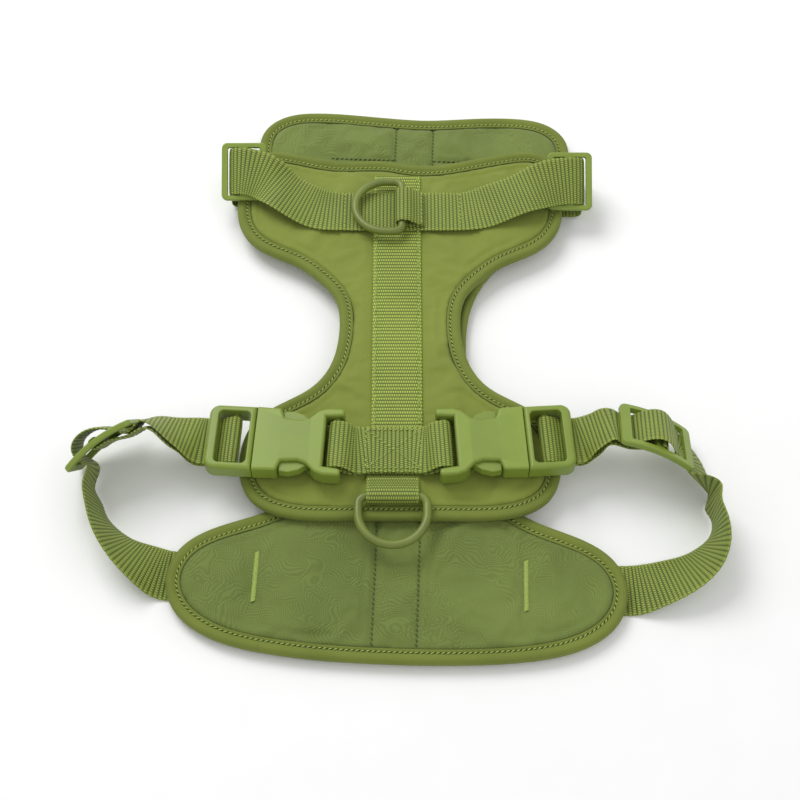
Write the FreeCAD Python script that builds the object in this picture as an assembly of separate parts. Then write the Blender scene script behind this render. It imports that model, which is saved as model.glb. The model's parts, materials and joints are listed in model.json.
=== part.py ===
"""A no pull dog harness lying on a table: chest panel underneath, back panel on top.

+X is the harness's right as it lies, +Y points to the head end and +Z is up. The origin is on the
underside of the chest webbing. All sizes are in millimetres.
"""
import FreeCAD, Part
import math
import os

from FreeCAD import Vector

# webbing and stack heights
WEB_WIDTH = 25.0
WEB_THICK = 1.4
CLEAR = 0.15
BINDING_WIDTH = 7.3
BINDING_HEIGHT = 5.6
SHELL_THICK = 0.8
FOAM_THICK = 2.2
LAYER_GAP = 0.05
CHEST_BASE = WEB_THICK + 0.25
CHEST_YAW = -2.1
CHEST_SHIFT = 2.0
BACK_BASE = CHEST_BASE + BINDING_HEIGHT + 0.2
PAD_INSET = BINDING_WIDTH + 0.2
PAD_LIFT = 0.6

# panel outlines: one half, from the middle of the head end to the middle of the tail end
BACK_HALF = [
    (0, 143), (35, 144.5), (60, 150), (78, 149), (86, 139), (87.5, 122), (86, 103), (80, 91),
    (70, 83), (54, 75), (42, 65), (34, 55), (31, 42), (31.5, 28), (35, 14), (44, 1),
    (58, -8), (71, -18), (77, -32), (77.5, -48), (71, -62), (56, -70), (30, -72), (0, -72),
]
CHEST_HALF = [
    (0, 179), (30, 181), (56, 182), (74, 178), (84, 168), (86, 152), (83, 130), (72, 108),
    (55, 88), (40, 70), (32, 48), (31, 20), (34, -15), (41, -43), (58, -64), (84, -75),
    (103, -88), (108, -103), (103, -118), (86, -131), (58, -138), (28, -140.5), (0, -141),
]

# straps
NECK_Y = 108.0
NECK_SEWN = 34.0
NECK_TURN = 3.0
FLOOR_Z = WEB_THICK / 2 + 0.02
CROSS_Y = -36.6
SPINE_X = -1.5
SPINE_HEAD = 133.0
SPINE_TAIL = -44.0

# side-release buckles: x runs outward from the mouth of the socket, z up, y across
BUCKLE_HEIGHT = 10.4
BUCKLE_HALF = 17.2
BUCKLE_Z = 19.3
BUCKLE_YAW = 3.3
LEFT_MOUTH = (-69.8, -34.5)
RIGHT_MOUTH = (60.4, -34.3)
PLUG_LENGTH = 22.8
PLUG_WINDOW = (2.9, 18.2)
PLUG_BAR_X = 10.4
PLUG_BAR_Z = -0.6
PLUG_BAR_R = 1.9
END_BAR_UNDERSIDE = -0.4
SOCKET_LENGTH = 33.7
SOCKET_BAR_X = -38.6
SOCKET_BAR_R = 2.0
HORN_TIP = -42.5
SOCKET_CAVITY_HALF = 14.4
SOCKET_CAVITY_HEIGHT = 6.4
LATCH_HEIGHT = 5.4
SEAM = 0.35

# sliders
SLIDER_LENGTH = 38.0
SLIDER_WIDTH = 32.6
SLIDER_THICK = 3.0
SLIDER_ARCH = 2.6
SLIDER_RAIL = 3.3
SLIDER_END_BAR = 4.6
SLIDER_MID_BAR = 4.4
TIE_CENTRE = 1.6
NECK_SLIDER_LENGTH = 24.0
NECK_SLIDER_WIDTH = 31.0
NECK_SLIDER_RAIL = 2.5
NECK_SLIDER_END_BAR = 3.2
NECK_SLIDER_MID_BAR = 3.6
NECK_TILT = 28.0
NECK_SLIDER_HEIGHT = 21.8
NECK_DIVE = 7.6
# heights of the double strap's two layers between slider and plug, in the frames between theirs
UPPER_SPAN = (0.9, 0.4, -0.3)
LOWER_SPAN = (-7.5, -6.3, -5.1)
# outer end and y of each neck slider, and the radius and angle of the strap's bend towards it
LEFT_NECK_SLIDER = (95.6, 128.8)
RIGHT_NECK_SLIDER = (102.5, 122.2)
LEFT_NECK_BEND = (31.0, -27)
RIGHT_NECK_BEND = (70.0, -11)
NECK_BEND_START = 3.0
# where the right girth strap's bend ends in its slider's frame, and that bend's radius
GIRTH_SKEW_START = 12.4
GIRTH_SKEW_RADIUS = 17.0

# leash rings
RING_WIRE = 4.2
RING_WIDTH = 37.0
RING_LENGTH = 29.0
RING_CORNER = 4.0
FRONT_RING_BAR = (1.0, NECK_Y)
REAR_RING_BAR_Y = -62.3
REAR_RING_X = -3.5

UP = Vector(0, 0, 1)


# ---------------------------------------------------------------- frames and solids

class Frame:
    """A place along a strap: along runs outward, across runs to the head end, normal points up."""

    def __init__(self, origin, along, across):
        self.origin = Vector(*origin)
        self.along = Vector(*along).normalize()
        across = Vector(*across)
        across = across - self.along * self.along.dot(across)
        self.across = across.normalize()
        normal = self.along.cross(self.across)
        self.normal = normal if normal.z > 0 else normal * -1

    def at(self, s, h):
        """The strap station s along and h up from the origin."""
        point = self.origin + self.along * s + self.normal * h
        return point, self.across

    def place(self, shape):
        """Moves a shape that is symmetric across into this frame."""
        side = self.normal.cross(self.along)
        a, b, c, o = self.along, side, self.normal, self.origin
        matrix = FreeCAD.Matrix(
            a.x, b.x, c.x, o.x, a.y, b.y, c.y, o.y, a.z, b.z, c.z, o.z, 0, 0, 0, 1
        )
        placed = shape.copy()
        placed.transformShape(matrix)
        return placed


def between(first, second, share):
    """The frame that lies a share of the way from the first frame to the second."""
    def mix(a, b):
        return a * (1 - share) + b * share
    return Frame(
        mix(first.origin, second.origin),
        mix(first.along, second.along),
        mix(first.across, second.across),
    )


def box(x0, x1, y0, y1, z0, z1):
    return Part.makeBox(x1 - x0, y1 - y0, z1 - z0, Vector(x0, y0, z0))


def closed_curve(points):
    curve = Part.BSplineCurve()
    curve.interpolate(Points=points, PeriodicFlag=True)
    return curve


def mirrored(half):
    """A whole outline from its right half."""
    left = [(-x, y) for x, y in reversed(half) if x > 0]
    return [Vector(x, y, 0) for x, y in half + left]


def inset(curve, distance, count=90):
    """A closed curve that runs a fixed distance inside another."""
    points = []
    start, end = curve.FirstParameter, curve.LastParameter
    for i in range(count):
        parameter = start + (end - start) * i / count
        tangent = curve.tangent(parameter)[0]
        points.append(curve.value(parameter) + Vector(tangent.y, -tangent.x, 0) * distance)
    return closed_curve(points)


def slab(curve, low, high):
    face = Part.Face(Part.Wire([curve.toShape()]))
    face.translate(Vector(0, 0, low))
    return face.extrude(Vector(0, 0, high - low))


def polygon_prism(points, low, high):
    corners = [Vector(x, y, low) for x, y in points]
    face = Part.Face(Part.makePolygon(corners + corners[:1]))
    return face.extrude(Vector(0, 0, high - low))


def ribbon(stations, width=WEB_WIDTH, thick=WEB_THICK):
    """A strap as one closed solid through stations of centre point and width direction."""
    centres = [point for point, _ in stations]
    parameters = [0.0]
    for before, after in zip(centres, centres[1:]):
        parameters.append(parameters[-1] + before.distanceToPoint(after))
    spine = Part.BSplineCurve()
    spine.interpolate(Points=centres, Parameters=parameters)
    corners = [[], [], [], []]
    for parameter, (point, direction) in zip(parameters, stations):
        tangent = spine.tangent(parameter)[0]
        side = direction - tangent * tangent.dot(direction)
        side = side.normalize() * (width / 2)
        up = tangent.cross(side).normalize() * (thick / 2)
        for corner, (a, b) in zip(corners, ((1, 1), (-1, 1), (-1, -1), (1, -1))):
            corner.append(point + side * a + up * b)
    edges = []
    for corner in corners:
        curve = Part.BSplineCurve()
        curve.interpolate(Points=corner, Parameters=parameters)
        edges.append(curve.toShape())
    faces = [Part.makeRuledSurface(edges[i], edges[(i + 1) % 4], 1) for i in range(4)]
    for end in (0, -1):
        ring = [corner[end] for corner in corners]
        faces.append(Part.Face(Part.makePolygon(ring + ring[:1])))
    shell = Part.Shell(faces)
    shell.sewShape()
    solid = Part.Solid(shell)
    if solid.Volume < 0:
        solid.reverse()
    return solid


def turn(frame, s, h, radius, first, last, steps):
    """Stations on an arc in a frame's plane, from one angle to another, in degrees."""
    stations = []
    for i in range(steps + 1):
        angle = math.radians(first + (last - first) * i / steps)
        stations.append(frame.at(s + radius * math.cos(angle), h + radius * math.sin(angle)))
    return stations


def round_edges(shape, radius, chosen):
    """Fillets the edges whose ends and middle satisfy the test."""
    edges = [edge for edge in shape.Edges if chosen(edge)]
    return shape.makeFillet(radius, edges)


def at_height(*heights):
    """Selects flat edges that lie at one of the heights."""
    def chosen(edge):
        zs = [vertex.Point.z for vertex in edge.Vertexes]
        middle = edge.valueAt((edge.FirstParameter + edge.LastParameter) / 2).z
        return any(all(abs(z - height) < 1e-4 for z in zs + [middle]) for height in heights)
    return chosen


# ---------------------------------------------------------------- panels

def chest_place(shape):
    """Turns a chest panel piece to where the panel lies."""
    placed = shape.copy()
    placed.rotate(Vector(0, 0, 0), UP, CHEST_YAW)
    placed.translate(Vector(CHEST_SHIFT, 0, 0))
    return placed


def panel_layers(outline, base, names):
    """Face fabric, foam and lining as a stack, and the binding round their edge."""
    inner = inset(outline, BINDING_WIDTH)
    pad = inset(outline, PAD_INSET)
    layers = {}
    low = base + PAD_LIFT
    for name, thick in zip(names[:3], (SHELL_THICK, FOAM_THICK, SHELL_THICK)):
        layers[name] = slab(pad, low, low + thick)
        low += thick + LAYER_GAP
    ring = slab(outline, base, base + BINDING_HEIGHT)
    layers[names[3]] = ring.cut(slab(inner, base - 1, base + BINDING_HEIGHT + 1))
    return layers, low


def chest_panel():
    outline = closed_curve(mirrored(CHEST_HALF))
    names = ("chest_face_fabric", "chest_foam", "chest_lining", "chest_binding")
    layers, _ = panel_layers(outline, CHEST_BASE, names)
    half = WEB_WIDTH / 2
    layers["chest_webbing"] = box(-half, half, -136, 174, 0, WEB_THICK)
    return {name: chest_place(shape) for name, shape in layers.items()}


def back_panel():
    outline = closed_curve(mirrored(BACK_HALF))
    names = ("back_lining", "back_foam", "back_face_fabric", "back_binding")
    return panel_layers(outline, BACK_BASE, names)


# ---------------------------------------------------------------- buckles

def plug():
    """The male half: webbing frame, centre bar, guide prong and nose."""
    high = BUCKLE_HEIGHT / 2
    corner = 5.0
    frame = box(0, PLUG_LENGTH, -BUCKLE_HALF, BUCKLE_HALF, -high, high)
    frame = round_edges(frame, corner, lambda e: upright_at(e, PLUG_LENGTH))
    frame = round_edges(frame, 2.0, at_height(-high, high))
    window = box(*PLUG_WINDOW, -14, 14, -high - 1, high + 1)
    window = round_edges(window, 2.4, lambda e: is_upright(e))
    frame = frame.cut(window)
    frame = round_edges(frame, 0.6, lambda e: in_window(e, high))
    slot = box(PLUG_WINDOW[1] - 0.5, PLUG_LENGTH + 1, -13.2, 13.2, -high - 1, END_BAR_UNDERSIDE)
    frame = frame.cut(slot)
    bar = Part.makeCylinder(
        PLUG_BAR_R, 29, Vector(PLUG_BAR_X, -14.5, PLUG_BAR_Z), Vector(0, 1, 0)
    )
    prong = box(-20, 0.5, -2.2, 2.2, -2.6, 2.6)
    nose = box(-6, 0.5, -7, 7, -2.9, 2.9)
    return frame.fuse([bar, prong, nose]).removeSplitter()


def is_upright(edge):
    a, b = edge.Vertexes[0].Point, edge.Vertexes[-1].Point
    return abs(a.x - b.x) < 1e-6 and abs(a.y - b.y) < 1e-6 and abs(a.z - b.z) > 1


def upright_at(edge, x):
    return is_upright(edge) and abs(edge.Vertexes[0].Point.x - x) < 1e-6


def in_window(edge, high):
    """Edges of the window's rim on the top and the bottom faces."""
    if not at_height(-high, high)(edge):
        return False
    x0, x1 = PLUG_WINDOW
    return all(x0 - 0.01 < v.Point.x < x1 + 0.01 and abs(v.Point.y) < 14.01 for v in edge.Vertexes)


def latch_arm(side):
    """A springy arm with a leaf-shaped barb, on the side given as +1 or -1."""
    arm = [(-0.3, 9.0), (-0.3, 12.0), (-12.6, 12.4), (-13.1, 16.0), (-17.5, 16.6), (-22.5, 15.0),
           (-28.0, 10.6), (-27.0, 9.6), (-20.5, 9.4), (-12.5, 9.2)]
    high = LATCH_HEIGHT / 2
    solid = polygon_prism([(x, y * side) for x, y in arm], -high, high)
    return round_edges(solid, 0.5, at_height(-high, high))


def socket():
    """The female half: a crowned box open at the mouth, side windows, webbing bar and horns."""
    high = BUCKLE_HEIGHT / 2
    half = [(-SEAM, BUCKLE_HALF), (-11.8, 16.8), (-13.6, 11.6), (-21.5, 10.9), (-25.5, 12.2),
            (-30.0, 16.6), (-34.0, 18.0), (HORN_TIP + 1.0, 18.2), (HORN_TIP, 17.0),
            (HORN_TIP + 0.3, 14.4), (-36.5, 13.6), (-SOCKET_LENGTH, 13.4)]
    plan = half + [(x, -y) for x, y in reversed(half)]
    body = polygon_prism(plan, -high, high)
    body = round_edges(body, 1.2, lambda e: is_upright(e) and not upright_at(e, -SEAM)
                       and not upright_at(e, -SOCKET_LENGTH))
    body = round_edges(body, 1.4, lambda e: at_height(-high, high)(e) and not on_mouth(e))
    cavity_high = SOCKET_CAVITY_HEIGHT / 2
    cavity = box(-29.0, 1, -SOCKET_CAVITY_HALF, SOCKET_CAVITY_HALF, -cavity_high, cavity_high)
    bar = Part.makeCylinder(SOCKET_BAR_R, 29, Vector(SOCKET_BAR_X, -14.5, 0), Vector(0, 1, 0))
    return body.cut(cavity).fuse(bar).removeSplitter()


def on_mouth(edge):
    return all(abs(v.Point.x + SEAM) < 1e-6 for v in edge.Vertexes)


# ---------------------------------------------------------------- sliders and rings

def slider(length, width, rail, arch, end_bar, mid_bar):
    """A tri-glide: two rails, two end bars and a centre bar, arched along its length."""
    half, thick = length / 2, SLIDER_THICK / 2
    if arch:
        def arc(offset):
            return Part.Arc(
                Vector(-half, 0, offset), Vector(0, 0, arch + offset), Vector(half, 0, offset)
            ).toShape()
        top, bottom = arc(thick), arc(-thick)
        ends = [
            Part.makeLine(Vector(x, 0, -thick), Vector(x, 0, thick)) for x in (-half, half)
        ]
        face = Part.Face(Part.Wire([top, ends[1], bottom, ends[0]]))
        face.translate(Vector(0, -width / 2, 0))
        body = face.extrude(Vector(0, width, 0))
    else:
        body = box(-half, half, -width / 2, width / 2, -thick, thick)
    body = body.makeFillet(3.0, [e for e in body.Edges if is_upright(e)])
    body = body.makeFillet(0.8, [e for e in body.Edges if not is_upright(e)])
    reach = width / 2 - rail
    for sign in (1, -1):
        inner, outer = sorted((sign * mid_bar / 2, sign * (half - end_bar)))
        window = box(inner, outer, -reach, reach, -9, 9)
        window = window.makeFillet(0.9, [e for e in window.Edges if is_upright(e)])
        body = body.cut(window)
    return body


def leash_ring():
    """A D-ring of round wire: straight bar along y at x = 0, curve towards -x."""
    wire = RING_WIRE / 2
    half = RING_WIDTH / 2 - wire
    straight = RING_LENGTH - RING_WIRE - half
    corner = RING_CORNER
    bow = Part.makeTorus(half, wire, Vector(-straight, 0, 0), UP, -180, 180, 180)
    bow.rotate(Vector(-straight, 0, 0), UP, 90)
    bar = Part.makeCylinder(
        wire, 2 * (half - corner), Vector(0, corner - half, 0), Vector(0, 1, 0)
    )
    pieces = [bow]
    for sign in (1, -1):
        side = Part.makeCylinder(
            wire, straight - corner, Vector(-straight, sign * half, 0), Vector(1, 0, 0)
        )
        bend = Part.makeTorus(
            corner, wire, Vector(-corner, sign * (half - corner), 0), UP, -180, 180, 90
        )
        if sign < 0:
            bend.rotate(Vector(-corner, sign * (half - corner), 0), UP, -90)
        pieces += [side, bend]
    return bar.fuse(pieces).removeSplitter()


def ring_loop(frame, base, bar_height, reach, tail, width):
    """A short webbing fold round a ring's bar: lower layer, wrap, upper layer."""
    wrap = RING_WIRE / 2 + CLEAR + WEB_THICK / 2
    step = WEB_THICK + 0.1
    top = bar_height + wrap
    drop = top - base - step
    stations = [frame.at(-tail, base), frame.at(-(tail + reach) / 2, base), frame.at(-reach, base)]
    stations += [frame.at(-wrap, (base + bar_height - wrap) / 2)]
    stations += turn(frame, 0, bar_height, wrap, -90, 90, 8)
    stations += [
        frame.at(-reach * 0.25, top - drop * 0.08),
        frame.at(-reach * 0.5, top - drop * 0.4),
        frame.at(-reach * 0.78, top - drop * 0.88),
        frame.at(-reach, base + step),
    ]
    return ribbon(stations, width)


# ---------------------------------------------------------------- the assembly

def flat(points, across=(0, 1, 0)):
    """Stations with one width direction."""
    return [(Vector(*point), Vector(*across)) for point in points]


def cross_strap(left, right, low):
    """The strap that carries both sockets: its ends fold round their bars and are sewn below."""
    lower = low + WEB_THICK / 2
    upper = lower + WEB_THICK + 0.15
    wrap = SOCKET_BAR_R + CLEAR + WEB_THICK / 2
    plane = Frame((0, CROSS_Y, 0), (1, 0, 0), (0, 1, 0))

    def outward(frame):
        """From the lower layer round the socket's bar to the upper layer."""
        stations = [frame.at(SOCKET_BAR_X - 7.5, lower + 0.5 - BUCKLE_Z)]
        stations += [frame.at(SOCKET_BAR_X - 3.6, 0.6 - wrap)]
        stations += turn(frame, SOCKET_BAR_X, 0, wrap, -90, 90, 8)
        stations += [frame.at(SOCKET_BAR_X - 5.0, wrap - 0.9)]
        stations += [frame.at(SOCKET_BAR_X - 10.0, upper + 1.1 - BUCKLE_Z)]
        return stations

    stations = [plane.at(x, lower) for x in (-6.8, -10, -13, -15, -17)]
    stations += outward(left)
    stations += [plane.at(x, upper) for x in (-15, -10, -4, 2, 6)]
    stations += list(reversed(outward(right)))
    stations += [plane.at(x, lower) for x in (11.5, 9, 6, 2, -2.6)]
    return ribbon(stations)


def neck_slider_frame(side, outer_x, y):
    """The neck slider's place: tilted so that its head end is the higher."""
    tilt = math.radians(NECK_TILT)
    centre = (side * (outer_x - NECK_SLIDER_LENGTH / 2), y, NECK_SLIDER_HEIGHT)
    return Frame(centre, (side, 0, 0), (0, math.cos(tilt), math.sin(tilt)))


def neck_half(side, frame, low, span, radius, angle):
    """One side of the neck strap, from the spine out and round under the chest panel.

    The span is given by distance out, y and rise. It meets the slider at an angle, along an arc.
    """
    z = low + WEB_THICK / 2
    over = SLIDER_THICK / 2 + CLEAR + WEB_THICK / 2 + 0.5
    stations = flat([(side * 13, NECK_Y, z), (side * 26, NECK_Y, z), (side * NECK_SEWN, NECK_Y + 0.2, z)])
    stations += flat([(side * x, y, z + rise) for x, y, rise in span], (0, 1, 0.14))
    entry = [(angle, over + 0.3), (angle / 2, over + 0.1), (angle / 6, over)]
    stations += skewed(frame, NECK_BEND_START, radius, entry)
    stations += [frame.at(NECK_DIVE - 1.9, 1.5), frame.at(NECK_DIVE, -1.6)]
    start = frame.at(NECK_DIVE + 0.05, -3.0)[0]
    tilt = math.radians(NECK_TILT)
    bottom = FLOOR_Z + NECK_TURN
    sweep = (start.z - bottom - 0.6) / math.sin(tilt)
    tail = start.y + sweep * (1 - math.cos(tilt))
    for share in (1, 0.75, 0.5, 0.25, 0):
        lean = tilt * share
        y = start.y + sweep * (math.cos(lean) - math.cos(tilt))
        z = start.z - sweep * (math.sin(tilt) - math.sin(lean))
        stations.append((Vector(start.x, y, z), Vector(0, math.cos(lean), math.sin(lean))))
    floor = Frame((start.x - side * NECK_TURN, tail, bottom), (side, 0, 0), (0, 1, 0))
    stations += turn(floor, 0, 0, NECK_TURN, 0, -90, 6)
    stations += flat([(side * x, tail, FLOOR_Z) for x in (78, 66, 50, 24)])
    return stations


def girth_slider_frame(side):
    if side > 0:
        return Frame((122.9, -32.8, 20.5), (0.916, -0.24, -0.32), (0.08, 0.893, -0.44))
    return Frame((-141.7, -37.0, 20.5), (-0.794, -0.527, -0.304), (0, 0.5, -0.866))


def skewed(frame, start, radius, heights):
    """Stations of a strap that meets a slider along an arc in the slider's own plane."""
    stations = []
    for angle, height in heights:
        turned = math.radians(angle)
        shift = radius * (1 - math.cos(turned))
        point, across = frame.at(start + radius * math.sin(turned), height)
        side = across * math.cos(turned) + frame.along * math.sin(turned)
        stations.append((point - across * shift, side))
    return stations


def banked(side, run):
    """Stations of a strap that leaves the table's plane by standing up on its inner edge.

    Each is x, y, bank in degrees and the lift of the lower edge off the table.
    """
    stations = []
    for before, here, after in zip([run[0]] + run[:-1], run, run[1:] + [run[-1]]):
        x, y, bank, lift = here
        heading = Vector(after[0] - before[0], after[1] - before[1], 0).normalize()
        inward = UP.cross(heading) * side
        bank = math.radians(bank)
        height = WEB_WIDTH / 2 * math.sin(bank) + FLOOR_Z + lift
        stations.append((Vector(x, y, height), inward * math.cos(bank) - UP * math.sin(bank)))
    return stations


def span(buckle, glide, heights):
    """Stations of one layer of the double strap on its way from the slider to the plug."""
    near = glide.at(-22, 0)[0]
    far = buckle.at(26, 0)[0]
    stations = []
    for share, height in zip((0.25, 0.5, 0.75), heights):
        frame = between(glide, buckle, share)
        frame.origin = near + (far - near) * share
        stations.append(frame.at(0, height))
    return stations


def girth_strap(side, buckle, glide, run, last, skew, hump):
    """One strap: sewn end, run to the slider, over its bar, round the plug's bar and back."""
    thick = SLIDER_THICK / 2
    wrap = PLUG_BAR_R + CLEAR + WEB_THICK / 2
    under = -thick - CLEAR - WEB_THICK / 2 - 0.1
    lower = under - WEB_THICK - 0.4
    stations = banked(side, run)
    stations += flat(*last)
    stations += skewed(glide, GIRTH_SKEW_START, GIRTH_SKEW_RADIUS, skew)
    stations += [glide.at(s, h) for s, h in hump]
    stations += [glide.at(s, h) for s, h in ((-13.4, under + 0.2), (-17.5, under), (-21.5, under + 0.8))]
    stations += span(buckle, glide, UPPER_SPAN)
    stations += [buckle.at(s, h) for s, h in ((26, -1.2), (22, -1.45), (18.2, -1.35), (14.6, 0.6))]
    stations += turn(buckle, PLUG_BAR_X, PLUG_BAR_Z, wrap, 70, 290, 8)
    stations += [buckle.at(s, h) for s, h in ((14.8, -3.3), (18.2, -3.15), (22, -3.25), (26, -3.9))]
    stations += reversed(span(buckle, glide, LOWER_SPAN))
    stations += [
        glide.at(s, h)
        for s, h in ((-21.5, lower - 1.3), (-17.5, lower - 0.2), (-12.5, lower + 0.5))
    ]
    stations += [glide.at(-6.0, -0.9)]
    loop = thick + CLEAR + WEB_THICK / 2
    stations += [glide.at(s, SLIDER_ARCH - loop) for s in (0, TIE_CENTRE - 0.7)]
    stations += turn(glide, TIE_CENTRE, SLIDER_ARCH, loop, -90, 90, 8)
    stations += [glide.at(s, SLIDER_ARCH + loop) for s in (TIE_CENTRE - 0.7, 0.3)]
    return ribbon(stations)


# run of each girth strap from its sewn end to its slider, and its last free station
RIGHT_RUN = [
    (62, -102, 0, 0), (78, -102.6, 0, 0), (93, -103.2, 0, 0), (103, -103.5, 0, 0), (108.5, -103.5, 0, 0),
    (112.5, -103.3, 4, 0.1), (119, -102.1, 13, 0.1), (127.1, -99.9, 22, 0.1), (135.5, -96.8, 33, 0.1),
    (142.2, -92.4, 45, 0.1), (147, -86.6, 59, 0.1), (149.7, -80, 74, 0.1), (150.3, -73, 86, 0.2),
    (149.6, -66, 88, 0.2), (148.8, -59.6, 83, 0.2),
]
RIGHT_LAST = ([(147.2, -52.6, 12.5)], (0.45, 0.33, -0.83))
LEFT_RUN = [
    (-62, -100.6, 0, 0), (-78, -99.2, 0, 0), (-94, -97.5, 0, 0), (-104, -96.4, 0, 0), (-109.5, -95.8, 0, 0),
    (-113.2, -95.2, 5, 0.1), (-119, -93, 21, 0.1), (-125, -89.8, 35, 0.1), (-130.6, -85.8, 47, 0.1),
    (-136, -80.4, 57, 0.1), (-140.8, -73.8, 67, 0.1), (-144.4, -66.4, 75, 0.1), (-146.8, -59, 79, 0.4),
]
LEFT_LAST = ([(-148.2, -51.4, 13.9)], (0.02, 0.46, -0.88))
# hump of each strap over its slider's centre bar: distance outward and height in the slider's frame
RIGHT_HUMP = [(10.2, 1.4), (5.5, 6.2), (0, 8.2), (-5.5, 6.2), (-10, 1.6)]
LEFT_HUMP = [(10.2, -4.2), (11.9, 0.6), (12.1, 5.0), (9.6, 8.6), (4.6, 10.2), (-1.0, 9.2),
             (-6.0, 6.0), (-10.2, 1.6)]
# angle off the slider's own line and height of the strap on its way in
RIGHT_SKEW = [(42, -3.6), (31, -3.4), (20, -3.0), (8, -2.3), (0, -1.4)]


# free span of each side of the neck strap: distance out, y and rise
LEFT_SPAN = [(44, 109.2, 1.3), (54, 112.8, 4.0), (64, 118.4, 7.0)]
RIGHT_SPAN = [(44, 109.6, 1.3), (54, 112.2, 3.8), (66, 115.6, 7.0)]


def harness():
    nodes = chest_panel()
    back, back_top = back_panel()
    nodes.update(back)
    half = WEB_WIDTH / 2
    nodes["spine_webbing"] = box(
        SPINE_X - half, SPINE_X + half, SPINE_TAIL, SPINE_HEAD, back_top, back_top + WEB_THICK
    )
    strap_low = back_top + WEB_THICK + CLEAR

    yaw = math.radians(BUCKLE_YAW)
    left = Frame((*LEFT_MOUTH, BUCKLE_Z), (-math.cos(yaw), math.sin(yaw), 0), (0, 1, 0))
    right = Frame((*RIGHT_MOUTH, BUCKLE_Z), (math.cos(yaw), math.sin(yaw), 0), (0, 1, 0))
    nodes["cross_strap"] = cross_strap(left, right, strap_low)
    for name, frame in (("left", left), ("right", right)):
        nodes[f"{name}_buckle_socket"] = frame.place(socket())
        nodes[f"{name}_buckle_plug"] = frame.place(plug())
        front = 1 if frame.normal.cross(frame.along).y < 0 else -1
        nodes[f"{name}_latch_front"] = frame.place(latch_arm(front))
        nodes[f"{name}_latch_rear"] = frame.place(latch_arm(-front))

    girth = slider(
        SLIDER_LENGTH, SLIDER_WIDTH, SLIDER_RAIL, SLIDER_ARCH, SLIDER_END_BAR, SLIDER_MID_BAR
    )
    for name, side, buckle, run, last, skew, hump in (
        ("left", -1, left, LEFT_RUN, LEFT_LAST, [], LEFT_HUMP),
        ("right", 1, right, RIGHT_RUN, RIGHT_LAST, RIGHT_SKEW, RIGHT_HUMP),
    ):
        glide = girth_slider_frame(side)
        nodes[f"{name}_girth_slider"] = glide.place(girth)
        nodes[f"{name}_girth_strap"] = girth_strap(side, buckle, glide, run, last, skew, hump)

    neck = slider(
        NECK_SLIDER_LENGTH, NECK_SLIDER_WIDTH, NECK_SLIDER_RAIL, 0,
        NECK_SLIDER_END_BAR, NECK_SLIDER_MID_BAR,
    )
    left_neck = neck_slider_frame(-1, *LEFT_NECK_SLIDER)
    right_neck = neck_slider_frame(1, *RIGHT_NECK_SLIDER)
    nodes["left_neck_slider"] = left_neck.place(neck)
    nodes["right_neck_slider"] = right_neck.place(neck)
    stations = list(reversed(neck_half(-1, left_neck, strap_low, LEFT_SPAN, *LEFT_NECK_BEND)))
    stations += flat([(0, NECK_Y, strap_low + WEB_THICK / 2)])
    stations += neck_half(1, right_neck, strap_low, RIGHT_SPAN, *RIGHT_NECK_BEND)
    nodes["neck_strap"] = ribbon(stations)

    ring = leash_ring()
    loop_base = strap_low + WEB_THICK + 0.1 + WEB_THICK / 2
    wrap = RING_WIRE / 2 + CLEAR + WEB_THICK / 2
    front = Frame((*FRONT_RING_BAR, 0), (-1, 0, 0), (0, 1, 0))
    front_bar = loop_base + wrap
    nodes["front_ring_loop"] = ring_loop(front, loop_base, front_bar, 10.5, 12, 22.0)
    nodes["front_leash_ring"] = ring.copy()
    nodes["front_leash_ring"].translate(Vector(*FRONT_RING_BAR, front_bar))

    rear = Frame((REAR_RING_X, REAR_RING_BAR_Y, 0), (0, -1, 0), (1, 0, 0))
    rear_base = back_top + WEB_THICK / 2 + 0.05
    rear_bar = rear_base + wrap + 0.8
    nodes["rear_ring_loop"] = ring_loop(rear, rear_base, rear_bar, 11, 18.1, WEB_WIDTH)
    turned = ring.copy()
    turned.rotate(Vector(0, 0, 0), UP, 90)
    turned.translate(Vector(REAR_RING_X, REAR_RING_BAR_Y, rear_bar))
    nodes["rear_leash_ring"] = turned
    return nodes


def main():
    os.makedirs("parts", exist_ok=True)
    for name, shape in harness().items():
        shape.exportStep(f"parts/{name}.step")
        print(name, shape.ShapeType, len(shape.Solids), shape.isValid(), round(shape.Volume, 1))


main()
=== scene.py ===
"""Looks of a no pull dog harness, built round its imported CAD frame.

Everything is in metres in the frame's own axes: +Y to the head end, +Z up. The soft parts are built
here as crowned pads, rolled bindings, ribbed webbing and stitches. The hard parts are the CAD nodes.
"""

import json
import math

import bpy
import numpy as np
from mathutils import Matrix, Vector
from mathutils.geometry import delaunay_2d_cdt


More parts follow.
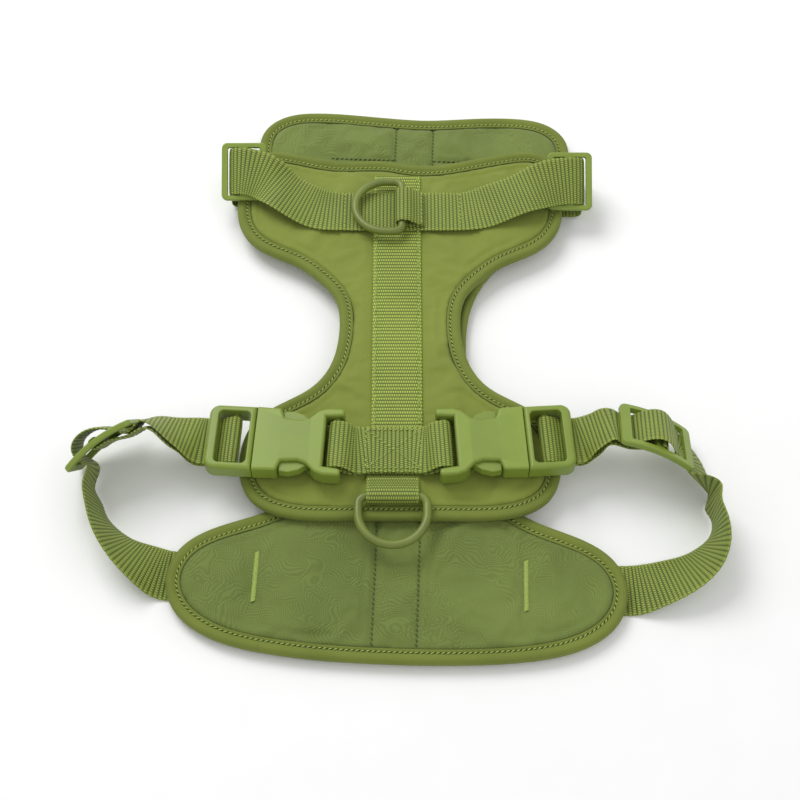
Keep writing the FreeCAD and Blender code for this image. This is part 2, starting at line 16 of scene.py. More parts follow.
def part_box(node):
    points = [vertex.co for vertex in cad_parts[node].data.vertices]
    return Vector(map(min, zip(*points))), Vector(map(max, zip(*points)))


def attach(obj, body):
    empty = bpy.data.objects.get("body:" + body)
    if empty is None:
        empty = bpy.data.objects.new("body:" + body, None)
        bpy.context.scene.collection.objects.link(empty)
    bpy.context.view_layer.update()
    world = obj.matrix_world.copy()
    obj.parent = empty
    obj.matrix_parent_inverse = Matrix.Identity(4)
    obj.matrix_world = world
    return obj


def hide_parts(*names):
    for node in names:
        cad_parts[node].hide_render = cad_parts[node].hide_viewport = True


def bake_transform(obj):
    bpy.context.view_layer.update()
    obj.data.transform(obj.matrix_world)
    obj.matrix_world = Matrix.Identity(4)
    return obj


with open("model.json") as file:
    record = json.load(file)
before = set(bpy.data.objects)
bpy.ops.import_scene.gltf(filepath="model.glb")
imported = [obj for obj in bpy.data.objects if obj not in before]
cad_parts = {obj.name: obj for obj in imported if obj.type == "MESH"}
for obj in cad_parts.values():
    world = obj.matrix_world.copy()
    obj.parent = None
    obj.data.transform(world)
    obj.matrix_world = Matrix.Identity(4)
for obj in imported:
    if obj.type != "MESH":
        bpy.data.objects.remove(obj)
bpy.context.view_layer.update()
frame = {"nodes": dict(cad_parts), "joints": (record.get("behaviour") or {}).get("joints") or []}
JOINTS = {joint["name"]: joint for joint in frame["joints"]}

MM = 0.001
UP = np.array((0.0, 0.0, 1.0))

# camera
CAMERA_ELEVATION = 60.0
CAMERA_DISTANCE = 0.722
CAMERA_LENS = 64.35

# webbing
RIB_PITCH = 1.95 * MM
RIB_HEIGHT = 0.07 * MM
YARN_PITCH = 1.15 * MM
ROW_STEP = 0.36 * MM
SHARP_ANGLE = 50.0
CAP_SIDE = 26 * MM

# pads and bindings
PAD_GRID = 1.9 * MM
BACK_CROWN = 1.15 * MM
CHEST_CROWN = 2.3 * MM
HIDDEN_CROWN = 0.8 * MM
STITCH_PITCH = 2.45 * MM
STITCH_LENGTH = 1.9 * MM
THREAD_RADIUS = 0.34 * MM
SEAM_HALF = 10.3 * MM
HEM_Y = 0.1495

# cuts of the straps: sewn end, reach of a slider's hump, reach of a slider, and the neck strap's heights
GIRTH_SEWN = 48 * MM
HUMP_REACH = 17 * MM
SLIDER_REACH = 18 * MM
NECK_SPAN_HEIGHT = 12 * MM
NECK_TURN_HEIGHT = 1.2 * MM


# ---------------------------------------------------------------- reading the CAD nodes

def solid(node):
    """A CAD node's welded points and its triangles."""
    mesh = frame["nodes"][node].data
    points = np.array([vertex.co for vertex in mesh.vertices], float)
    _, first, back = np.unique(
        np.round(points / 2e-7).astype(np.int64), axis=0, return_index=True, return_inverse=True
    )
    back = back.ravel()
    triangles = np.array([[back[i] for i in face.vertices] for face in mesh.polygons])
    return points[first], triangles


def sharp_links(points, triangles):
    """For each point on a sharp edge, the points that its sharp edges lead to."""
    a, b, c = (points[triangles[:, i]] for i in range(3))
    normals = np.cross(b - a, c - a)
    sizes = np.linalg.norm(normals, axis=1)
    normals /= np.maximum(sizes, 1e-30)[:, None]
    owners = {}
    for face, triangle in enumerate(triangles):
        if sizes[face] < 1e-14:
            continue
        for i in range(3):
            edge = tuple(sorted((int(triangle[i]), int(triangle[(i + 1) % 3]))))
            owners.setdefault(edge, []).append(face)
    limit = math.cos(math.radians(SHARP_ANGLE))
    links = {}
    for (start, end), faces in owners.items():
        if len(faces) == 2 and normals[faces[0]] @ normals[faces[1]] < limit:
            links.setdefault(start, set()).add(end)
            links.setdefault(end, set()).add(start)
    return links


def rims(node):
    """The outer and the inner closed outline of a binding's upper face, as xy points."""
    points, triangles = solid(node)
    top = points[:, 2].max()
    links = sharp_links(points, triangles)
    left = {v for v in links if abs(points[v][2] - top) < 1e-5}
    loops = []
    while left:
        here = left.pop()
        loop = [here]
        while True:
            ahead = [v for v in links[here] if v in left]
            if not ahead:
                break
            here = ahead[0]
            left.discard(here)
            loop.append(here)
        loops.append(points[loop][:, :2])
    loops.sort(key=lambda loop: -np.ptp(loop[:, 0]) - np.ptp(loop[:, 1]))
    return [clockwise(loop) for loop in loops[:2]]


def clockwise(loop):
    x, y = loop.T
    area = np.sum(x * np.roll(y, -1) - np.roll(x, -1) * y)
    return loop if area < 0 else loop[::-1]


def strap_corners(node, start):
    """The four long edges of a strap, from the end that is nearest to a point."""
    points, triangles = solid(node)
    links = sharp_links(points, triangles)
    corners = {v for v, near in links.items() if len(near) == 3}

    def gap(v, w):
        return np.linalg.norm(points[v] - points[w])

    def on_cap(v, w):
        return v in corners and w in corners and gap(v, w) < CAP_SIDE

    first = min(corners, key=lambda v: np.linalg.norm(points[v] - start))
    ring = [first, max((v for v in links[first] if on_cap(first, v)), key=lambda v: gap(first, v))]
    while len(ring) < 4:
        here = ring[-1]
        ring.append(next(v for v in links[here] if on_cap(here, v) and v not in ring))
    chains = []
    for corner in ring:
        chain = [corner, next(v for v in links[corner] if not on_cap(corner, v))]
        while chain[-1] not in corners:
            chain.append(next(v for v in links[chain[-1]] if v != chain[-2]))
        chains.append(points[chain])
    return chains


def lengths_along(points):
    steps = np.linalg.norm(np.diff(points, axis=0), axis=1)
    return np.concatenate(([0], np.cumsum(steps)))


def resample(points, step):
    """Points at even steps along a polyline."""
    along = lengths_along(points)
    count = max(2, int(round(along[-1] / step)) + 1)
    at = np.linspace(0, along[-1], count)
    return np.stack([np.interp(at, along, points[:, i]) for i in range(points.shape[1])], axis=1)


def smoothed(values, reach):
    """A running mean that keeps both ends."""
    padded = np.concatenate((
        2 * values[:1] - values[reach:0:-1], values, 2 * values[-1:] - values[-2:-reach - 2:-1]
    ))
    kernel = np.hanning(2 * reach + 3)[1:-1]
    kernel /= kernel.sum()
    return np.stack([np.convolve(padded[:, i], kernel, "valid") for i in range(values.shape[1])], axis=1)


def unit(vectors):
    return vectors / np.linalg.norm(vectors, axis=-1, keepdims=True)


class Path:
    """A strap's sections: centre, width direction and face direction at even steps along it."""

    def __init__(self, centre, side, face, width, thick):
        along = lengths_along(centre)
        count = max(3, int(round(along[-1] / ROW_STEP)) + 1)
        self.at = np.linspace(0, along[-1], count)
        self.centre, self.side, self.face = (
            np.stack([np.interp(self.at, along, values[:, i]) for i in range(3)], axis=1)
            for values in (centre, side, face)
        )
        self.side = unit(self.side)
        self.face = unit(self.face)
        self.width = width
        self.thick = thick

    def row(self, distance):
        """The row nearest to a distance along the strap, in a valley between two ribs."""
        valley = (math.floor(distance / RIB_PITCH) + 0.5) * RIB_PITCH
        return int(np.clip(np.searchsorted(self.at, valley), 0, len(self.at) - 1))

    def nearest(self, point, first=0, last=None):
        """The distance along the strap at which it is nearest to a point."""
        gaps = np.linalg.norm(self.centre - np.asarray(point), axis=1)
        inside = (self.at >= first) & (self.at <= (self.at[-1] if last is None else last))
        return self.at[np.argmin(np.where(inside, gaps, 9.0))]


def strap_path(node, start):
    """Walks a plane along a strap's four long edges and keeps a section at each step."""
    step = 0.25 * MM
    chains = [resample(chain, 0.04 * MM) for chain in strap_corners(node, np.array(start))]
    tangents = [unit(np.gradient(smoothed(chain, 4), axis=0)) for chain in chains]
    at = [0, 0, 0, 0]
    section = np.array([chain[0] for chain in chains])
    sections = [section]
    while all(at[k] < len(chains[k]) - 2 for k in range(4)):
        heading = unit(sum(tangents[k][at[k]] for k in range(4)))
        target = section.mean(axis=0) + heading * step
        section = section.copy()
        for k, chain in enumerate(chains):
            while at[k] < len(chain) - 2 and (chain[at[k] + 1] - target) @ heading < 0:
                at[k] += 1
            here, ahead = chain[at[k]], chain[at[k] + 1]
            below, above = (here - target) @ heading, (ahead - target) @ heading
            share = 0.0 if below >= 0 else float(np.clip(-below / max(above - below, 1e-12), 0, 1))
            section[k] = here + (ahead - here) * share
        sections.append(section)
    sections.append(np.array([chain[-1] for chain in chains]))
    rows = np.array(sections)
    centre = smoothed(rows.mean(axis=1), 3)
    side = smoothed((rows[:, 0] + rows[:, 3] - rows[:, 1] - rows[:, 2]) / 2, 5)
    face = smoothed((rows[:, 0] + rows[:, 1] - rows[:, 2] - rows[:, 3]) / 2, 5)
    width = np.median(np.linalg.norm(side, axis=1))
    thick = np.median(np.linalg.norm(face, axis=1))
    return Path(centre, unit(side), unit(face), width, thick)


# ---------------------------------------------------------------- meshes

def piece(name, points, faces, material, slot, uvs=None):
    """A smooth-shaded object of the harness with one material."""
    mesh = bpy.data.meshes.new(name)
    mesh.from_pydata([tuple(p) for p in points], [], [tuple(int(i) for i in f) for f in faces])
    mesh.update()
    mesh.polygons.foreach_set("use_smooth", [len(face) < 5 for face in faces])
    if uvs is not None:
        layer = mesh.uv_layers.new(name="UVMap")
        corners = np.empty(len(mesh.loops), dtype=np.int32)
        mesh.loops.foreach_get("vertex_index", corners)
        layer.data.foreach_set("uv", np.asarray(uvs, np.float32)[corners].ravel())
    mesh.materials.append(material)
    obj = bpy.data.objects.new(name, mesh)
    bpy.context.scene.collection.objects.link(obj)
    return obj


def tube_faces(rows, columns, closed_rows=False):
    """Quads over rows of closed rings, with a cap at each end unless the rows close too."""
    i = np.arange(rows if closed_rows else rows - 1)
    j = np.arange(columns)
    a, b = np.meshgrid(i, j, indexing="ij")
    after, beside = (a + 1) % rows, (b + 1) % columns
    here, there = a * columns, after * columns
    quads = np.stack((here + b, here + beside, there + beside, there + b), -1)
    faces = [list(face) for face in quads.reshape(-1, 4)]
    if not closed_rows:
        faces.append(list(range(columns - 1, -1, -1)))
        faces.append([(rows - 1) * columns + k for k in range(columns)])
    return faces


def strap_profile(columns=15):
    """Across and height, both from -1 to 1, round a strap's section."""
    across = np.cos(np.linspace(0, math.pi, columns))
    across = np.sign(across) * np.abs(across) ** 0.72
    height = (1 - np.abs(across) ** 7) ** 0.5 * 0.86 + 0.14
    top = np.stack((across, height), axis=1)
    return np.concatenate((top, top[::-1] * (1, -1)))


def strap_piece(name, path, material, first=0, last=None, slot="webbing"):
    """A ribbed strap from one row of its path to another."""
    last = len(path.at) - 1 if last is None else last
    rows = slice(first, last + 1)
    along = path.at[rows]
    profile = strap_profile()
    rib = np.cos(2 * math.pi * along / RIB_PITCH)
    half = path.width / 2 + 0.10 * MM * rib
    high = path.thick / 2 - RIB_HEIGHT + RIB_HEIGHT * rib
    across = profile[:, 0][None, :, None] * half[:, None, None] * path.side[rows][:, None, :]
    proud = profile[:, 1][None, :, None] * high[:, None, None] * path.face[rows][:, None, :]
    points = path.centre[rows][:, None, :] + across + proud
    u = np.broadcast_to(profile[:, 0] * path.width / 2, (len(along), len(profile)))
    v = np.broadcast_to(along[:, None], u.shape)
    faces = tube_faces(len(along), len(profile))
    if np.cross(path.side[first], path.face[first]) @ (path.centre[first + 1] - path.centre[first]) < 0:
        faces = [face[::-1] for face in faces]
    uvs = np.stack((u, v), -1).reshape(-1, 2)
    return piece(name, points.reshape(-1, 3), faces, material, slot, uvs)


def thread_stitches(name, lines, body, material, slot, length=STITCH_LENGTH, radius=THREAD_RADIUS):
    """One mesh of short bent threads. Each line is (points, facing, pitch)."""
    rings, sides = 5, 6
    turn = np.arange(sides) * 2 * math.pi / sides
    share = np.linspace(-1, 1, rings)
    thin = np.sqrt(np.clip(1 - (share * 0.93) ** 4, 0, 1))
    lift = (1 - share ** 2) * 1.1 - 0.55
    points, faces = [], []
    template = tube_faces(rings, sides)
    for line, facing, pitch in lines:
        along = lengths_along(line)
        count = int(along[-1] / pitch)
        for n in range(count):
            middle = (n + 0.5) * along[-1] / count
            at = middle + share * length / 2
            centre = np.stack([np.interp(at, along, line[:, i]) for i in range(3)], axis=1)
            heading = unit(centre[-1] - centre[0])
            across = unit(np.cross(facing, heading))
            slant = across[None, :] * (share * radius * 0.9)[:, None]
            centre = centre + slant + facing[None, :] * (lift * radius)[:, None]
            ring = across[None, :] * np.cos(turn)[:, None] + facing[None, :] * np.sin(turn)[:, None]
            base = len(points) * rings * sides
            points.append(centre[:, None, :] + ring[None, :, :] * (radius * thin)[:, None, None])
            faces += [[base + k for k in face] for face in template]
    obj = piece(name, np.concatenate([p.reshape(-1, 3) for p in points]), faces, material, slot)
    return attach(obj, body)


# ---------------------------------------------------------------- materials

def colour(red, green, blue):
    """A screen colour out of 255 as linear light."""
    def linear(value):
        value /= 255
        return value / 12.92 if value <= 0.04045 else ((value + 0.055) / 1.055) ** 2.4
    return (linear(red), linear(green), linear(blue), 1.0)


class Shader:
    """Adds nodes to one material and wires them to each other."""

    def __init__(self, name):
        self.material = bpy.data.materials.new(name)
        self.material.use_nodes = True
        self.nodes = self.material.node_tree.nodes
        self.links = self.material.node_tree.links
        self.surface = self.nodes["Principled BSDF"]

    def add(self, kind, settings=None, **inputs):
        node = self.nodes.new("ShaderNode" + kind)
        for key, value in (settings or {}).items():
            setattr(node, key, value)
        for key, value in inputs.items():
            self.set(node, key.replace("_", " "), value)
        return node

    def set(self, node, key, value):
        into = node.inputs[key]
        if isinstance(value, bpy.types.NodeSocket):
            self.links.new(value, into)
        else:
            into.default_value = value

    def maths(self, operation, first, second=0.0, third=0.0):
        node = self.nodes.new("ShaderNodeMath")
        node.operation = operation
        for i, value in enumerate((first, second, third)):
            self.set(node, i, value)
        return node.outputs[0]

    def uv(self):
        """Across and along, in metres."""
        split = self.add("SeparateXYZ", Vector=self.add("UVMap").outputs["UV"])
        return split.outputs["X"], split.outputs["Y"]

    def place(self):
        return self.add("TexCoord").outputs["Object"]

    def noise(self, scale, detail=3.0, where=None, distortion=0.0):
        node = self.add("TexNoise", Scale=scale, Detail=detail, Distortion=distortion)
        self.set(node, "Vector", where or self.place())
        return node.outputs["Fac"]

    def wave(self, value, pitch, shift=0.0):
        """A cosine from 0 to 1 along a value in metres."""
        phase = self.maths("MULTIPLY_ADD", value, 2 * math.pi / pitch, shift)
        return self.maths("MULTIPLY_ADD", self.maths("COSINE", phase), 0.5, 0.5)

    def ramp(self, factor, stops):
        node = self.nodes.new("ShaderNodeValToRGB")
        self.set(node, "Fac", factor)
        band = node.color_ramp.elements
        while len(band) < len(stops):
            band.new(0.5)
        for element, (position, value) in zip(band, stops):
            element.position = position
            element.color = value
        return node.outputs["Color"]

    def mix(self, factor, first, second, blend="MIX"):
        node = self.nodes.new("ShaderNodeMix")
        node.data_type = "RGBA"
        node.blend_type = blend
        self.set(node, 0, factor)
        self.set(node, 6, first)
        self.set(node, 7, second)
        return node.outputs[2]

    def bump(self, height, distance, strength=1.0, normal=None):
        node = self.add("Bump", Height=height, Distance=distance, Strength=strength)
        if normal is not None:
            self.set(node, "Normal", normal)
        return node.outputs["Normal"]

    def finish(self, base, roughness, normal=None, sheen=0.0, specular=0.5, coat=0.0):
        self.set(self.surface, "Base Color", base)
        self.set(self.surface, "Roughness", roughness)
        self.set(self.surface, "Specular IOR Level", specular)
        self.set(self.surface, "Sheen Weight", sheen)
        self.set(self.surface, "Sheen Roughness", 0.5)
        self.set(self.surface, "Sheen Tint", (0.9, 0.95, 0.75, 1))
        self.set(self.surface, "Coat Weight", coat)
        if normal is not None:
            self.set(self.surface, "Normal", normal)
        return self.material


def webbing_material(name, light, dark, contrast=1.0):
    """Ribbed nylon: ribs across the strap, each of short floats of yarn, with painted shade between the ribs
    and yarns and painted highlights on the float tops and along the selvages.
    """
    s = Shader(name)
    across, along = s.uv()
    rib = s.wave(along, RIB_PITCH)
    row = s.maths("FLOOR", s.maths("DIVIDE", s.maths("ADD", along, RIB_PITCH / 2), RIB_PITCH))
    yarn = s.wave(s.maths("MULTIPLY_ADD", row, YARN_PITCH / 2, across), YARN_PITCH)
    fibres = s.noise(2600.0, 2.0)
    patches = s.noise(38.0, 3.0)
    # painted shade and highlight: float_ is high on the tops of the ribs and yarn floats and low in the
    # gaps; it drives the colour as well as the bump
    float_ = s.maths("MULTIPLY", s.maths("POWER", rib, 0.4), s.maths("MULTIPLY_ADD", yarn, 0.74, 0.26))
    # random tone patches plus the painted relief light and shade
    tone_patches_and_painted_relief = s.maths("MULTIPLY_ADD", s.maths("SUBTRACT", patches, 0.5), 0.22, float_)
    shade = s.maths("MULTIPLY_ADD", s.maths("SUBTRACT", fibres, 0.5), 0.25, tone_patches_and_painted_relief)
    # painted highlight: a lighter band along both selvages, standing in for their lit top edges
    selvage_highlight = s.maths("GREATER_THAN", s.maths("ABSOLUTE", across), 11.2 * MM)
    shade = s.maths("MULTIPLY_ADD", selvage_highlight, 0.12, shade)
    # the dark stop is the painted shade in the rib gaps, the bright stop is the painted highlight on the
    # float tops
    middle = tuple(a * 0.6 + b * 0.4 for a, b in zip(light, dark))
    bright = tuple(min(1.0, a * (1 + 0.45 * contrast)) for a in light[:3]) + (1,)
    base = s.ramp(shade, [(0.05, dark), (0.36, middle), (0.66, light), (1.0, bright)])
    height = s.maths("MULTIPLY_ADD", fibres, 0.2, float_)
    normal = s.bump(height, 0.2 * MM, 0.85)
    rough = s.maths("MULTIPLY_ADD", float_, -0.16, 0.66)
    return s.finish(base, rough, normal, sheen=0.05, specular=0.36)


def cloth_material(name, light, dark, weave, wavy=0.0, sheen=0.08):
    """Close-woven face cloth over foam: fine crossed yarns, watered lines and soft mottling."""
    s = Shader(name)
    place = s.place()
    split = s.add("SeparateXYZ", Vector=place)
    drift = s.maths("MULTIPLY", s.maths("SUBTRACT", s.noise(17.0, 1.0), 0.5), wavy)
    warp = s.wave(split.outputs["X"], weave)
    weft = s.wave(split.outputs["Y"], weave)
    watered = s.wave(s.maths("MULTIPLY_ADD", split.outputs["Y"], 0.5, drift), 2.3 * MM)
    yarns = s.maths("MULTIPLY", warp, weft)
    patches = s.noise(22.0, 4.0)
    fine = s.noise(1500.0, 2.0)
    shade = s.maths("MULTIPLY_ADD", yarns, 0.22, s.maths("MULTIPLY", patches, 0.5))
    shade = s.maths("MULTIPLY_ADD", fine, 0.18, shade)
    if wavy:
        shade = s.maths("MULTIPLY_ADD", watered, 0.26, shade)
    base = s.ramp(shade, [(0.2, dark), (0.85, light)])
    height = s.maths("MULTIPLY_ADD", fine, 0.5, yarns)
    normal = s.bump(height, 0.07 * MM, 0.6)
    return s.finish(base, 0.8, normal, sheen=sheen, specular=0.22)


def cloth_material(name, light, dark, weave, wavy=0.0, sheen=0.25):
    """Close-woven face cloth over foam: fine crossed yarns, soft mottling and a matt sheen."""
    s = Shader(name)
    place = s.place()
    split = s.add("SeparateXYZ", Vector=place)
    drift = s.maths("MULTIPLY", s.maths("SUBTRACT", s.noise(26.0, 2.0), 0.5), wavy)
    warp = s.wave(s.maths("ADD", split.outputs["X"], drift), weave)
    weft = s.wave(s.maths("ADD", split.outputs["Y"], drift), weave)
    yarns = s.maths("MULTIPLY", warp, weft)
    patches = s.noise(22.0, 4.0)
    fine = s.noise(1500.0, 2.0)
    shade = s.maths("MULTIPLY_ADD", yarns, 0.32, s.maths("MULTIPLY", patches, 0.62))
    shade = s.maths("MULTIPLY_ADD", fine, 0.18, shade)
    base = s.ramp(shade, [(0.2, dark), (0.75, light)])
    height = s.maths("MULTIPLY_ADD", fine, 0.5, yarns)
    normal = s.bump(height, 0.07 * MM, 0.6)
    return s.finish(base, 0.78, normal, sheen=sheen, specular=0.3)


def tape_material(name, light, dark):
    """Stretch binding tape: fine ribs along the edge, painted light on its convex roll and painted shade in
    its hollows, with painted shade lines down the stitch groove and the lip's inner crease.
    """
    s = Shader(name)
    across, along = s.uv()
    ribs = s.wave(across, 0.75 * MM)
    cross = s.wave(along, 0.9 * MM)
    # painted light and shade by curvature: lighter on the convex roll, darker in the hollows
    painted_curvature_light_shade = s.add("NewGeometry").outputs["Pointiness"]
    patches = s.noise(30.0, 3.0)
    fine = s.noise(1800.0, 2.0)
    shade = s.maths("MULTIPLY_ADD", s.maths("MULTIPLY", ribs, cross), 0.2, s.maths("MULTIPLY", patches, 0.5))
    shade = s.maths("MULTIPLY_ADD", s.maths("SUBTRACT", painted_curvature_light_shade, 0.45), 1.2, shade)
    shade = s.maths("MULTIPLY_ADD", fine, 0.15, shade)
    # painted shade: dark lines in the stitch groove and in the crease at the lip's inner side
    groove = s.maths("LESS_THAN", s.maths("ABSOLUTE", s.maths("SUBTRACT", across, GROOVE_UV)), 0.75 * MM)
    lip = s.maths("LESS_THAN", s.maths("ABSOLUTE", s.maths("SUBTRACT", across, LIP_UV)), 0.85 * MM)
    shade = s.maths("MULTIPLY_ADD", s.maths("MAXIMUM", groove, lip), -0.6, shade)
    # the lowest stop is the painted shade colour of the groove and the crease
    base = s.ramp(shade, [(0.0, tuple(c * 0.3 for c in dark[:3]) + (1,)), (0.2, dark), (0.75, light)])
    ridges = s.maths("MULTIPLY_ADD", ribs, 0.5, s.maths("MULTIPLY_ADD", fine, 0.4, cross))
    return s.finish(base, 0.74, s.bump(ridges, 0.05 * MM, 0.5), sheen=0.06, specular=0.25)


def plastic_material(name, base_colour, rough=0.42):
    """Moulded acetal: faint cloudiness, fine spark texture and softened edges, with painted highlight on
    convex edges and painted shade in the hollows.
    """
    s = Shader(name)
    cloud = s.noise(60.0, 3.0)
    spark = s.noise(3200.0, 1.0)
    # painted light and shade by curvature: lighter on convex edges, darker in the hollows and slots
    edge = s.maths("MULTIPLY", s.maths("SUBTRACT", s.add("NewGeometry").outputs["Pointiness"], 0.5), 3.0)
    shade = s.maths("ADD", s.maths("MULTIPLY", cloud, 0.5), edge)
    low = tuple(c * 0.88 for c in base_colour[:3]) + (1,)
    high = tuple(min(1, c * 1.1) for c in base_colour[:3]) + (1,)
    base = s.ramp(shade, [(0.1, low), (0.5, high)])
    soft = s.add("Bevel", {"samples": 6}, Radius=0.35 * MM).outputs["Normal"]
    normal = s.bump(spark, 0.02 * MM, 0.35, soft)
    roughness = s.maths("MULTIPLY_ADD", cloud, 0.14, rough - 0.07)
    return s.finish(base, roughness, normal, specular=0.45)


def coated_wire_material(name, base_colour):
    """Powder coat on steel wire: slight orange peel and rubbed high spots."""
    s = Shader(name)
    peel = s.noise(420.0, 2.0)
    cloud = s.noise(55.0, 3.0)
    low = tuple(c * 0.8 for c in base_colour[:3]) + (1,)
    high = tuple(min(1, c * 1.12) for c in base_colour[:3]) + (1,)
    base = s.ramp(cloud, [(0.3, low), (0.7, high)])
    normal = s.bump(peel, 0.05 * MM, 0.35)
    return s.finish(base, s.maths("MULTIPLY_ADD", cloud, 0.12, 0.34), normal, specular=0.5, coat=0.08)


def thread_material(name, base_colour):
    s = Shader(name)
    fibre = s.noise(1900.0, 2.0)
    low = tuple(c * 0.7 for c in base_colour[:3]) + (1,)
    base = s.ramp(fibre, [(0.3, low), (0.65, base_colour)])
    return s.finish(base, 0.5, s.bump(fibre, 0.05 * MM, 0.6), sheen=0.2)


def foam_material(name, base_colour):
    s = Shader(name)
    cells = s.add("TexVoronoi", Scale=900.0, Vector=s.place()).outputs["Distance"]
    low = tuple(c * 0.75 for c in base_colour[:3]) + (1,)
    base = s.ramp(cells, [(0.1, low), (0.6, base_colour)])
    return s.finish(base, 0.92, s.bump(cells, 0.2 * MM, 0.8))


def floor_material():
    s = Shader("floor")
    grain = s.noise(40.0, 2.0)
    base = s.ramp(grain, [(0.0, (0.93, 0.93, 0.93, 1)), (1.0, (0.96, 0.96, 0.96, 1))])
    return s.finish(base, 0.9, specular=0.1)


# places of the stitch groove and of the lip's inner side in the tape's own measure across, where the tape's
# painted shade lines lie
GROOVE_UV = 8 * 0.8 * MM
LIP_UV = 13 * 0.8 * MM
MATERIALS = {
    # each webbing's dark colour is the painted shade in its rib gaps; its light colour is raised into a
    # painted highlight on the float tops
    "strap": webbing_material("strap_webbing", colour(134, 151, 62), colour(58, 70, 22)),
    "spine": webbing_material("spine_webbing", colour(150, 168, 68), colour(62, 76, 24), 1.3),
    "back": cloth_material("back_cloth", colour(133, 145, 60), colour(115, 127, 47), 0.62 * MM),
    "chest": cloth_material("chest_cloth", colour(124, 140, 68), colour(84, 99, 42), 0.95 * MM, 0.05),
    "tape": tape_material("binding_tape", colour(134, 146, 64), colour(98, 110, 43)),
    "plastic": plastic_material("moulded_plastic", colour(124, 144, 54)),
    "wire": coated_wire_material("coated_wire", colour(108, 122, 46)),
    "thread": thread_material("thread", colour(166, 186, 88)),
    "seam": thread_material("seam_thread", colour(72, 86, 30)),
    "foam": foam_material("foam", colour(170, 172, 150)),
}


# ---------------------------------------------------------------- bindings

BINDING_PROFILE = [
    # inward from the outer edge, height above the middle: the roll, the stitch groove and the lip
    (0.0, 0.0), (0.12, 1.0), (0.55, 1.85), (1.3, 2.45), (2.3, 2.72), (3.3, 2.55), (4.2, 2.1),
    (4.8, 1.62), (5.25, 1.5), (5.7, 1.72), (6.2, 2.02), (6.7, 1.98), (7.05, 1.62), (7.2, 0.9),
    (7.2, -1.2), (6.9, -1.75), (6.1, -1.95), (5.2, -1.8), (4.2, -2.2), (3.0, -2.6), (1.9, -2.7),
    (0.9, -2.3), (0.3, -1.5), (0.05, -0.7),
]
GROOVE = (5.25 * MM, 1.62 * MM)


def periodic(loop, step):
    """A closed outline at even steps, smoothed, with its inward directions and distances along it."""
    closed = np.concatenate((loop, loop[:1]))
    even = resample(closed, step)[:-1]
    wrapped = np.concatenate((even[-6:], even, even[:6]))
    even = smoothed(wrapped, 3)[6:-6]
    tangent = unit(np.roll(even, -1, axis=0) - np.roll(even, 1, axis=0))
    inward = np.stack((tangent[:, 1], -tangent[:, 0]), axis=1)
    gaps = np.linalg.norm(np.roll(even, -1, axis=0) - even, axis=1)
    along = np.concatenate(([0], np.cumsum(gaps)[:-1]))
    return even, inward, along, gaps.sum()


def swell(along, total, seeds=(5, 11, 23)):
    """A slow wobble from -1 to 1 round a closed edge."""
    turn = 2 * math.pi * along / total
    return sum(np.sin(turn * k + k * k) for k in seeds) / len(seeds)


def binding(node, body, slot):
    """A rolled tape round a panel's edge, with a stitched groove and an inner lip."""
    low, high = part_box(node)
    middle = (low.z + high.z) / 2
    even, inward, along, total = periodic(rims(node)[0], 1.1 * MM)
    count = round(total / STITCH_PITCH)
    puckers = np.cos(2 * math.pi * count * along / total)
    wobble = swell(along, total)
    rings = []
    for depth, height in BINDING_PROFILE:
        near_groove = math.exp(-((depth - 5.25) / 0.8) ** 2)
        roll = math.exp(-((depth - 2.0) / 1.6) ** 2)
        sign = 1 if height > 0 else -1
        z = height + sign * (0.10 * wobble * roll - 0.16 * near_groove * (puckers + 1) / 2)
        xy = even + inward * (depth + 0.12 * wobble * (1 - depth / 7.3))[:, None] * MM
        rings.append(np.concatenate((xy, (middle + z * MM)[:, None]), axis=1))
    points = np.stack(rings, axis=1)
    faces = tube_faces(len(even), len(rings), closed_rows=True)
    u = np.broadcast_to(np.arange(len(rings)) * 0.8 * MM, points.shape[:2])
    v = np.broadcast_to(along[:, None], points.shape[:2])
    uvs = np.stack((u, v), -1).reshape(-1, 2)
    faces = [face[::-1] for face in faces]
    obj = piece(f"{node}_tape", points.reshape(-1, 3), faces, MATERIALS["tape"], slot, uvs)
    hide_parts(node)
    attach(obj, body)
    for name, sign in (("upper", 1), ("lower", -1)):
        xy = even + inward * GROOVE[0]
        z = np.full(len(xy), middle + sign * (GROOVE[1] + 0.05 * MM))
        line = np.concatenate((xy, z[:, None]), axis=1)
        line = np.concatenate((line, line[:1]))
        stitched = (line, UP * sign, STITCH_PITCH)
        thread_stitches(f"{node}_stitches_{name}", [stitched], body, MATERIALS["thread"], slot)
    return obj


# ---------------------------------------------------------------- pads

def inside(points, loop):
    """Which xy points lie inside a closed loop."""
    x, y = points[:, 0][:, None], points[:, 1][:, None]
    x0, y0 = loop[:, 0][None, :], loop[:, 1][None, :]
    x1, y1 = np.roll(loop[:, 0], -1)[None, :], np.roll(loop[:, 1], -1)[None, :]
    crosses = (y0 > y) != (y1 > y)
    at = x0 + (y - y0) * (x1 - x0) / np.where(y1 == y0, 1e-12, y1 - y0)
    return (np.sum(crosses & (x < at), axis=1) % 2) == 1


def gap_to(points, line):
    """Each xy point's distance to a polyline's points, which lie close together."""
    return np.min(np.linalg.norm(points[:, None, :] - line[None, :, :], axis=2), axis=1)


